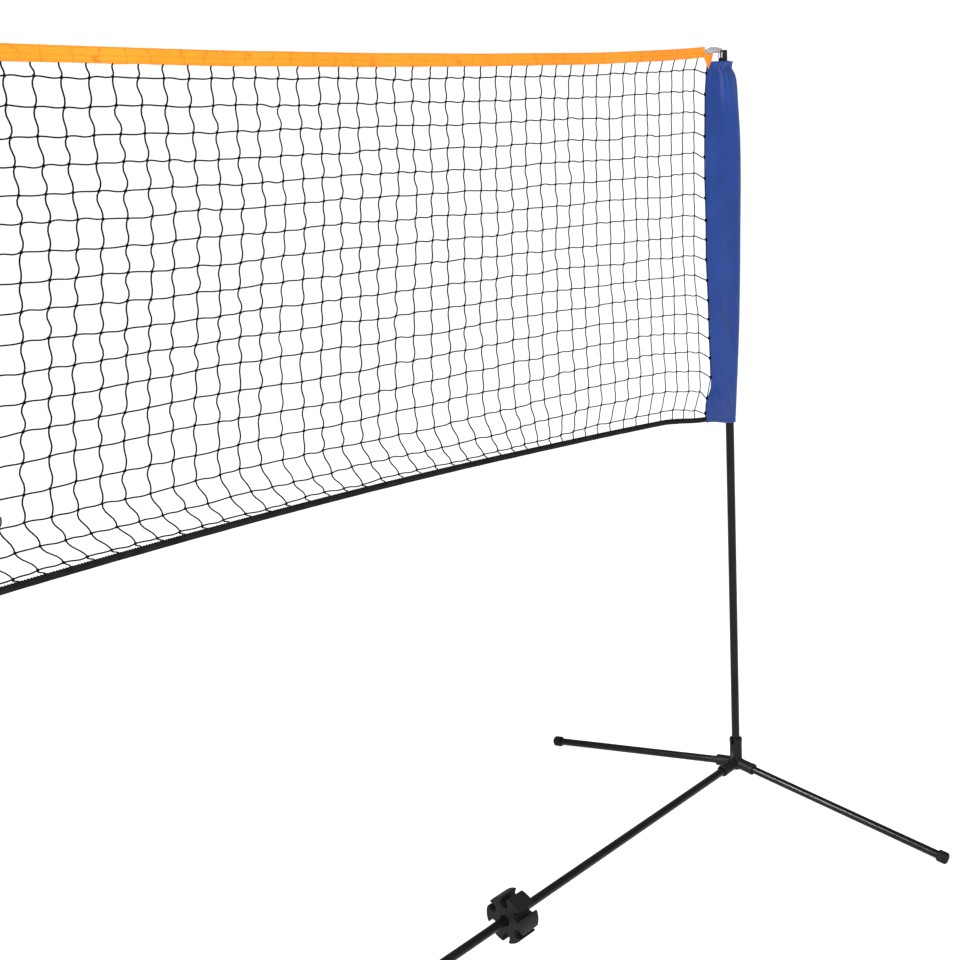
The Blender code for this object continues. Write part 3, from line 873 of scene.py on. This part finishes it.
def sleeve_folds(u, z):
    """How far the cloth stands off its drop shape."""
    free = smooth(0.02, 0.16, min(u, 1 - u))
    down = SLEEVE_HIGH - z
    bunch = 11 * u + 1.3 * wave(u * 6, 2)
    pleats = 0.0021 * math.sin(math.tau * bunch) * math.exp(-down / 0.034)
    flare = 0.0022 * math.sin(math.tau * (5 * u + 1.1)) * math.exp(-((down - 0.045) / 0.035) ** 2)
    bend = 0.30 * wave(z * 2.2, 5)
    long_fold = 0.0030 * math.sin(math.tau * (3.0 * u + bend)) * smooth(0.05, 0.25, down)
    long_fold *= smooth(SLEEVE_LOW + 0.02, SLEEVE_LOW + 0.22, z)
    above_hem = smooth(SLEEVE_LOW + 0.009, SLEEVE_LOW + 0.030, z)
    pulls = sum(pull_fold(u, z, pull) for pull in PULLS) * above_hem
    slow = 0.0016 * wave(u * 4, z * 5, 4)
    hem_line = -0.0007 * math.exp(-(((z - SLEEVE_LOW - 0.0085) / 0.0016) ** 2))
    return free * (pleats + flare + long_fold + pulls + slow) + hem_line


def sleeve_shape(u, v):
    """The place of a point of the right sleeve."""
    z = SLEEVE_LOW + (SLEEVE_HIGH - SLEEVE_LOW) * v
    radius = curve_through(SLEEVE_PUFF, z)
    reach = sleeve_edge(z)
    place, normal = drop_point(u, radius, reach)
    place = place + normal * sleeve_folds(u, z)
    to_net = smooth(0.0, 1.0, -place.x / reach)
    lift = to_net * seam_lift(z)
    ruffle = 0.0013 * wave(u * 9, 6) * smooth(0.985, 1.0, v)
    return Vector((POST_X + place.x, place.y, z + lift + ruffle))


sleeve_bm = cloth_grid(
    SLEEVE_AROUND, SLEEVE_ROWS, SLEEVE_GIRTH, SLEEVE_HIGH - SLEEVE_LOW, sleeve_shape, merge=1e-6
)
sleeves = both_sides(
    "sleeve_cloth", as_mesh(sleeve_bm), SLEEVE_NYLON, TOPS, "post_sleeve_{}"
)
for made in sleeves.values():
    thicken(made, 0.0006)

# %% [markdown]
# ## Stitching
# A stitch is a short rounded grain of thread. One is made from a low ball, stretched, and then copied
# along a line. Hundreds are needed, so each has only a few faces.

# %% Copies of one small shape
SLEEVE_STITCH = 0.0031  # from one stitch to the next
TAPE_STITCH = 0.0034


def copies(shape_bm, matrices):
    """One bmesh holding the small shape at each matrix."""
    shape = as_mesh(shape_bm)
    made = bmesh.new()
    for matrix in matrices:
        one = placed(shape, matrix)
        made.from_mesh(one)
        bpy.data.meshes.remove(one)
    return made


def stitch_shape():
    """One grain of thread, 2.2 mm long and 0.7 mm thick."""
    bm = bmesh.new()
    bmesh.ops.create_icosphere(bm, subdivisions=1, radius=1)
    bmesh.ops.scale(bm, vec=(0.0011, 0.00035, 0.00035), verts=bm.verts)
    return bm


def along_line(points, pitch):
    """Matrices every pitch metres along a line of points, with X along the line."""
    made = []
    carried = 0.0
    for first, second in zip(points, points[1:]):
        step = second - first
        if step.length < 1e-9:
            continue
        way = step.normalized()
        turn = Vector((1, 0, 0)).rotation_difference(way).to_matrix().to_4x4()
        reach = carried
        while reach < step.length:
            made.append(Matrix.Translation(first + way * reach) @ turn)
            reach += pitch
        carried = reach - step.length
    return made


def sleeve_ring(v, stand_off):
    """A line of points round the sleeve at height v, a little outside the cloth."""
    ring = []
    for index in range(SLEEVE_AROUND + 1):
        u = index / SLEEVE_AROUND
        here = sleeve_shape(u, v)
        ahead = sleeve_shape(min(u + 0.004, 1), v) - sleeve_shape(max(u - 0.004, 0), v)
        out = Vector((ahead.y, -ahead.x, 0)).normalized()
        ring.append(here + out * stand_off)
    return ring


hem = copies(stitch_shape(), along_line(sleeve_ring(0.0121, 0.0005), SLEEVE_STITCH))
seam_line = []
for index in range(240):
    z_share = 0.004 + 0.985 * index / 239
    seam_line.append(sleeve_shape(0.035, z_share) + Vector((0, -0.0004, 0)))
seam = copies(stitch_shape(), along_line(seam_line, SLEEVE_STITCH))
seam.from_mesh(as_mesh(hem))
both_sides("sleeve_stitches", as_mesh(seam), THREAD_BLUE, TOPS)

# %% [markdown]
# ## Top tape
# A strip of orange nylon is folded lengthwise over the net's top cord and sewn shut below it. Its
# cross-section is a narrow hairpin, and slight puckers along the seam keep it from looking ruled.

# %% Build the top tape
TAPE_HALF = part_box("net_top_tape")[1].x - 0.0005
TAPE_FOLD = 0.0014  # half the folded tape's thickness


def hairpin(u, height, fold):
    """(side, depth) of a folded strip: u is 0 and 1 at its two cut edges, 0.5 at the fold."""
    turn_share = 0.10
    if abs(u - 0.5) < turn_share:
        angle = (u - 0.5) / turn_share * math.pi / 2
        return fold * math.sin(angle), fold * (1 - math.cos(angle))
    flat = (0.5 - abs(u - 0.5)) / (0.5 - turn_share)
    side = fold if u > 0.5 else -fold
    return side, height - (height - fold) * flat


def tape_shape(u, v):
    """The place of a point of the tape: u across the strip, v along it."""
    x = TAPE_HALF * (2 * v - 1)
    side, depth = hairpin(u, TAPE_HEIGHT, TAPE_FOLD)
    share = depth / TAPE_HEIGHT
    pucker = 0.0005 * wave(x * 70, depth * 120) + 0.0006 * wave(x * 14, share * 2, 3)
    seam_pull = 0.0009 * math.exp(-((share - 0.86) / 0.07) ** 2)
    closing = 1 - 0.45 * share
    outward = 1 if side > 0 else -1
    flutter = 0.0007 * wave(x * 30, 6) * share
    y = side * closing + outward * (pucker - seam_pull * 0.5) + 0.0012 * wave(x * 3, 1)
    return Vector((x, y, tape_line(x) - depth + flutter))


tape_bm = cloth_grid(26, 1500, 2 * TAPE_HEIGHT, 2 * TAPE_HALF, tape_shape)
tape = piece("top_tape_cloth", tape_bm, TAPE, TOPS, ["net_top_tape"], 180)
thicken(tape, 0.0004)

# %% [markdown]
# The seam below the fold is a line of stitches on both faces, and at each end a triangle of the same
# orange cloth reinforces the corner and runs in behind the sleeve.

# %% Tape stitches and corner gussets
stitch_rows = []
for u in (0.055, 0.945):
    line = [tape_shape(u, index / 900) for index in range(901)]
    out = Vector((0, -0.0005 if u < 0.5 else 0.0005, 0))
    stitch_rows += along_line([point + out for point in line], TAPE_STITCH)
piece("tape_stitches", copies(stitch_shape(), stitch_rows), THREAD_ORANGE, TOPS, (), 180)


GUSSET_WIDTH = 0.040
GUSSET_DROP = 0.027


def gusset_shape(u, v):
    """A triangle of cloth hanging from the tape's end; u across, v down."""
    wide = (1 - v) ** 0.8
    x = POST_X - 0.076 + GUSSET_WIDTH * (0.45 * v + u * wide * 0.95)
    z = tape_line(POST_X - 0.08) - 0.010 - GUSSET_DROP * v - 0.002 * math.sin(math.pi * u)
    y = -0.0022 - 0.0012 * math.sin(math.pi * u) + 0.0004 * wave(x * 90, z * 90)
    return Vector((x, y, z))


gusset = cloth_grid(14, 16, 0.95 * GUSSET_WIDTH, GUSSET_DROP, gusset_shape, merge=1e-5)
gussets = both_sides("tape_gusset", as_mesh(gusset), TAPE, TOPS)
for made in gussets.values():
    thicken(made, 0.0005)

# %% [markdown]
# ## Webbing loops
# A pale loop ties each end of the tape to its post. It is caught in the cap's slots, round the two thin
# blades, and the pull crushes it there, so it is wide at the tape and bunched at the cap. It is one
# closed belt, shaped round a drop that runs from the tape to the blades, with its creases worked in.

# %% Build the loops
LOOP_START = POST_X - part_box("tape_loop_right")[0].x + 0.002
LOOP_WIDTH = 0.012
LOOP_LENGTH = 0.135
LOOP_DROP = -0.0080  # the loop's middle at the tape, below the cap's top
LOOP_CLIMB = 0.0080  # how far it rises from there to the cap
BLADE_OUT = 0.0048  # from the post's axis to the middle of the two blades
BLADE_ROUND = 0.0032  # the loop's radius where it goes round them
BLADES = Vector((-math.sin(SLOT_TURN), math.cos(SLOT_TURN), 0)) * BLADE_OUT


def loop_shape(u, v):
    """The place of a point of the right loop: u round the belt, v across it."""
    place, normal = drop_point(u, BLADE_ROUND, LOOP_START - BLADE_OUT * math.sin(SLOT_TURN))
    toward = smooth(0.0, 1.0, (LOOP_START + place.x) / LOOP_START)
    free = smooth(0.0, 0.08, min(u, 1 - u))
    crush = 0.0030 * wave(u * 9, v * 2, 2) + 0.0016 * wave(u * 21, v * 5)
    crush += 0.0006 * wave(u * 60, v * 9)
    crush *= 1 - 0.75 * toward
    belly = 0.0030 * math.sin(math.pi * toward) * math.sin(math.pi * v)
    place = place + normal * (belly + crush) * free
    width = LOOP_WIDTH * (1.15 - 0.45 * toward)
    ruck = 0.0012 * wave(u * 24, 4, v * 2)
    rise = LOOP_DROP + LOOP_CLIMB * toward + 0.0030 * math.sin(math.pi * toward)
    return Vector(
        (
            POST_X + BLADES.x + place.x,
            BLADES.y * toward + place.y,
            TAPE_HIGH + rise + width * (v - 0.5) + ruck,
        )
    )


loop_bm = cloth_grid(170, 18, LOOP_LENGTH, LOOP_WIDTH, loop_shape, merge=1e-6)
loops = both_sides("loop_webbing", as_mesh(loop_bm), LOOP_WEBBING, TOPS, "tape_loop_{}")
for side, made in loops.items():
    thicken(made, 0.0007)

# %% [markdown]
# ## The net's knots
# The mesh is a grid of knots with cords between them. The knots are placed first: evenly between the
# two sleeves, then shifted by the way the slack net hangs. Half cells stand at the top and bottom,
# where the twine goes into the tapes. Every small irregularity comes from seeded noise.

# %% Where each knot is
MESH_ROWS = 18
TWINE_RADIUS = 0.00105


def row_share(row):
    """0 at the top tape, 1 at the bottom tape; rows 1 to MESH_ROWS are knots."""
    if row <= 0:
        return 0.0
    if row > MESH_ROWS:
        return 1.0
    return (row - 0.5) / MESH_ROWS


def knot_place(column, row):
    """Column 0 is at the right sleeve. Row 0 and the last row are the cords' ends in the tapes."""
    share = row_share(row)
    across = column / MESH_CELLS
    side = math.sin(math.tau * across)
    edge = sleeve_edge(1.52 - 0.67 * share) + 0.0005
    from_right = edge + across * (2 * POST_X - 2 * edge)
    # The columns spread away from the sleeves, and the slack in the middle leans to the right.
    from_right += (0.018 + 0.020 * share) * side
    from_right += 0.090 * max(0.0, share - 0.30) * math.sin(math.pi * across) ** 2
    slack = smooth(0.10, 0.24, across) * (1 - smooth(0.55, 0.80, across))
    from_right -= 0.066 * slack * smooth(0.83, 1.02, share) ** 1.3
    if row == 0:
        from_right -= 0.010 * (math.exp(-from_right / 0.30) - math.exp(-from_right / 0.05))
    x = POST_X - from_right
    top = tape_line(x) - TAPE_HEIGHT + 0.0004
    low = bottom_line(x) + BOTTOM_HEIGHT - 0.001
    z = top + (low - top) * share
    if 0 < row <= MESH_ROWS:
        # Small wanderings, the belly of the slack net, and rows drawn down where they meet a sleeve.
        x += 0.0034 * wave(column * 0.5, row * 0.5, 1) + random.uniform(-0.0009, 0.0009)
        z += 0.0030 * wave(column * 0.42, row * 0.55, 5) + random.uniform(-0.0008, 0.0008)
        z += 0.0060 * wave(column * 0.11, row * 0.25, 8) * math.sin(math.pi * share)
        z -= 0.0145 * slack * smooth(0.50, 0.92, share) * (1 - 0.38 * smooth(0.92, 0.97, share))
        to_sleeve = min(column, MESH_CELLS - column)
        drawn_down = 0.5 if row == MESH_ROWS else 1
        z -= (0.0090 + 0.0100 * share) * math.exp(-to_sleeve / 0.5) * drawn_down
    if column in (0, MESH_CELLS):
        x = math.copysign(POST_X - sleeve_edge(z - seam_lift(z)) - 0.0008, x)
    y = 0.0030 * wave(column * 0.3, row * 0.3, 9) * math.sin(math.pi * share)
    return Vector((x, y, z))


knots = {
    (column, row): knot_place(column, row)
    for column in range(MESH_CELLS + 1)
    for row in range(MESH_ROWS + 2)
}
print("knots", len(knots))

# %% [markdown]
# ## The net's cords
# The twine is springy and keeps the wave that the knotting gave it, so each upright cord swings one
# way and back between two knots, and each level cord bows a little. The cords are curves with a round
# section, because a curve is the natural way to draw a line of thread. The waves are a little deeper
# in the middle, where the net is slack.

# %% Run the cords through the knots
CORD_STEPS = 6


def upright_cord(column):
    """Points down one column, which swings one way and back between knots."""
    points = []
    slack = 0.0009 + 0.0012 * math.sin(math.pi * column / MESH_CELLS)
    for row in range(MESH_ROWS + 1):
        first = knots[column, row]
        second = knots[column, row + 1]
        swing = slack * (1 + 0.9 * wave(column * 1.7, row * 1.3, 2)) * (1 if row else 0.5)
        bow = slack * 2.2 * wave(column * 0.8, row * 0.9, 12)
        for step in range(CORD_STEPS):
            share = step / CORD_STEPS
            point = first.lerp(second, share)
            point.x -= swing * math.sin(math.tau * share) + bow * math.sin(math.pi * share)
            points.append(point)
    points.append(knots[column, MESH_ROWS + 1])
    return points


def level_cord(row):
    """Points along one row, from the right sleeve to the left."""
    points = []
    for column in range(MESH_CELLS):
        first = knots[column, row]
        second = knots[column + 1, row]
        bow = 0.0018 * wave(column * 1.1, row * 2.1, 7) - 0.0004
        swing = 0.0013 * wave(column * 0.7, row * 1.9, 3) - 0.0005
        for step in range(CORD_STEPS):
            share = step / CORD_STEPS
            point = first.lerp(second, share)
            point.z += bow * math.sin(math.pi * share) + swing * math.sin(math.tau * share)
            points.append(point)
    points.append(knots[MESH_CELLS, row])
    return points


def cords(name, lines, radius, finish, slot, stands_for=()):
    """Round cords along the lines, as one mesh piece with closed ends."""
    data = bpy.data.curves.new(name, "CURVE")
    data.dimensions = "3D"
    data.bevel_depth = radius
    data.bevel_resolution = 1
    data.use_fill_caps = True
    for line in lines:
        spline = data.splines.new("POLY")
        spline.points.add(len(line) - 1)
        for target, point in zip(spline.points, line):
            target.co = (*point, 1)
    drawn = linked(name + "_curve", data)
    graph = bpy.context.evaluated_depsgraph_get()
    mesh = bpy.data.meshes.new_from_object(drawn.evaluated_get(graph), depsgraph=graph)
    bpy.data.objects.remove(drawn)
    bm = bmesh.new()
    bm.from_mesh(mesh)
    bmesh.ops.remove_doubles(bm, verts=bm.verts, dist=1e-6)
    bmesh.ops.recalc_face_normals(bm, faces=bm.faces)
    print(name, "edges left open:", sum(not edge.is_manifold for edge in bm.edges))
    return piece(name, bm, finish, TOPS, stands_for, 180)


uprights = [upright_cord(column) for column in range(1, MESH_CELLS)]
levels = [level_cord(row) for row in range(1, MESH_ROWS + 1)]
length = sum((b - a).length for line in uprights + levels for a, b in zip(line, line[1:]))
cords("net_uprights", uprights, TWINE_RADIUS, TWINE, "net", ["net_mesh"])
cords("net_levels", levels, TWINE_RADIUS, TWINE, "net")
edges = [[knots[column, row] for row in range(MESH_ROWS + 2)] for column in (0, MESH_CELLS)]
cords("net_edges", edges, TWINE_RADIUS, TWINE, "net")
print("twine length", round(length, 1), "m")

# %% [markdown]
# A knot is a turn of the same twine round the crossing. A small ring, tilted across the cords, reads
# as that turn from any side, and it is light enough to repeat at every crossing.

# %% Tie the knots
ring = bmesh.new()
bmesh.ops.create_circle(ring, segments=5, radius=0.00095)
turned(ring, Matrix.Rotation(math.pi / 2, 4, "X"))
bmesh.ops.translate(ring, vec=(0.0014, 0, 0), verts=ring.verts)
bmesh.ops.spin(
    ring,
    geom=ring.verts[:] + ring.edges[:],
    cent=(0, 0, 0),
    axis=(0, 0, 1),
    angle=math.tau,
    steps=7,
    use_merge=True,
)
bmesh.ops.remove_doubles(ring, verts=ring.verts, dist=1e-6)
bmesh.ops.recalc_face_normals(ring, faces=ring.faces)
turns = []
for (column, row), place in knots.items():
    if 0 < row <= MESH_ROWS:
        tilt = Matrix.Rotation(math.radians(45 + random.uniform(-25, 25)), 4, "Y")
        lean = Matrix.Rotation(math.radians(90 + random.uniform(-20, 20)), 4, "X")
        size = 1.7 if column in (0, MESH_CELLS) else 1.0
        turns.append(Matrix.Translation(place) @ tilt @ lean @ Matrix.Scale(size, 4))
piece("net_knots", copies(ring, turns), TWINE, TOPS, (), 180)

# %% [markdown]
# ## Bottom tape
# A narrow black webbing finishes the lower edge. It is folded over like the top tape, and whipped to
# the net with a cord that spirals round its upper edge, which gives that edge its fine teeth.

# %% Build the bottom tape and its whipping
BOTTOM_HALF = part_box("net_bottom_tape")[1].x + 0.002
WHIP_PITCH = 0.0042
WHIP_STEPS = 8  # points in one turn of the whipping


def bottom_shape(u, v):
    """The place of a point of the bottom tape: u across the strip, v along it."""
    x = BOTTOM_HALF * (2 * v - 1)
    side, depth = hairpin(u, BOTTOM_HEIGHT, 0.0013)
    y = side + 0.0003 * wave(x * 60, depth * 200)
    return Vector((x, y, bottom_line(x) + depth + 0.0003 * wave(x * 25, 2)))


bottom_bm = cloth_grid(18, 1200, 2 * BOTTOM_HEIGHT, 2 * BOTTOM_HALF, bottom_shape)
bottom = piece(
    "bottom_tape_cloth", bottom_bm, BOTTOM_WEBBING, TOPS, ["net_bottom_tape"], 180
)
thicken(bottom, 0.0005)
whip = []
whip_turns = int(2 * BOTTOM_HALF / WHIP_PITCH)
for index in range(whip_turns * WHIP_STEPS + 1):
    x = -BOTTOM_HALF + index * WHIP_PITCH / WHIP_STEPS
    angle = index * math.tau / WHIP_STEPS
    centre = bottom_line(x) + BOTTOM_HEIGHT - 0.0018
    whip.append(Vector((x, 0.0019 * math.cos(angle), centre + 0.0027 * math.sin(angle))))
cords("bottom_whipping", [whip], 0.0005, TWINE, "bottom_tape")

# %% [markdown]
# ## Studio
# A wide pale floor runs out to a white sky, so there is no horizon line. The floor glows a little, as
# white paper on a light table does, which keeps it white under the dimmer sky that lights the net.
# Two lamps give the shape: a broad soft one from the left, and a small one behind the net whose narrow
# beam glances off the front foot as a thin bright streak and misses the sleeve.

# %% Floor and light
FLOOR_HALF = 60
FLOOR_GLOW = 0.68
ground = bmesh.new()
bmesh.ops.create_grid(ground, x_segments=1, y_segments=1, size=FLOOR_HALF)
bmesh.ops.translate(ground, vec=(0, 0, -0.0005), verts=ground.verts)
floor = linked("floor", as_mesh(ground, "floor"))
floor_finish = new_finish(
    "floor_paper", (0.93, 0.93, 0.93), 0.9, Emission_Color=(1, 1, 1, 1), Emission_Strength=FLOOR_GLOW
)[0]
floor.data.materials.append(floor_finish)

SKY_SEEN = 1.1
SKY_LIGHT = 0.45
sky = bpy.data.worlds.new("sky")
sky.use_nodes = True
background = sky.node_tree.nodes["Background"]
background.inputs["Color"].default_value = (1, 1, 1, 1)
path = sky.node_tree.nodes.new("ShaderNodeLightPath")
strength = sky.node_tree.nodes.new("ShaderNodeMapRange")
strength.inputs["To Min"].default_value = SKY_LIGHT
strength.inputs["To Max"].default_value = SKY_SEEN
sky.node_tree.links.new(path.outputs["Is Camera Ray"], strength.inputs["Value"])
sky.node_tree.links.new(strength.outputs["Result"], background.inputs["Strength"])
bpy.context.scene.world = sky


def lamp(name, size, energy, place, target, glint_only=False, beam=180):
    """A square lamp aimed at the target, with its beam's angle in degrees."""
    data = bpy.data.lights.new(name, "AREA")
    data.shape = "SQUARE"
    data.size = size
    data.energy = energy
    data.spread = math.radians(beam)
    made = linked(name, data)
    made.visible_diffuse = not glint_only
    made.location = place
    made.rotation_euler = (Vector(target) - made.location).to_track_quat("-Z", "Y").to_euler()


FRONT_FOOT = (1.49, -0.25, 0.04)
lamp("broad_lamp", 2.4, 190, (-1.6, -3.2, 2.9), (1.2, 0, 0.9))
lamp("edge_lamp", 0.35, 5, (-0.40, 0.87, 1.52), FRONT_FOOT, glint_only=True, beam=32)
bpy.context.scene.view_settings.view_transform = "Standard"
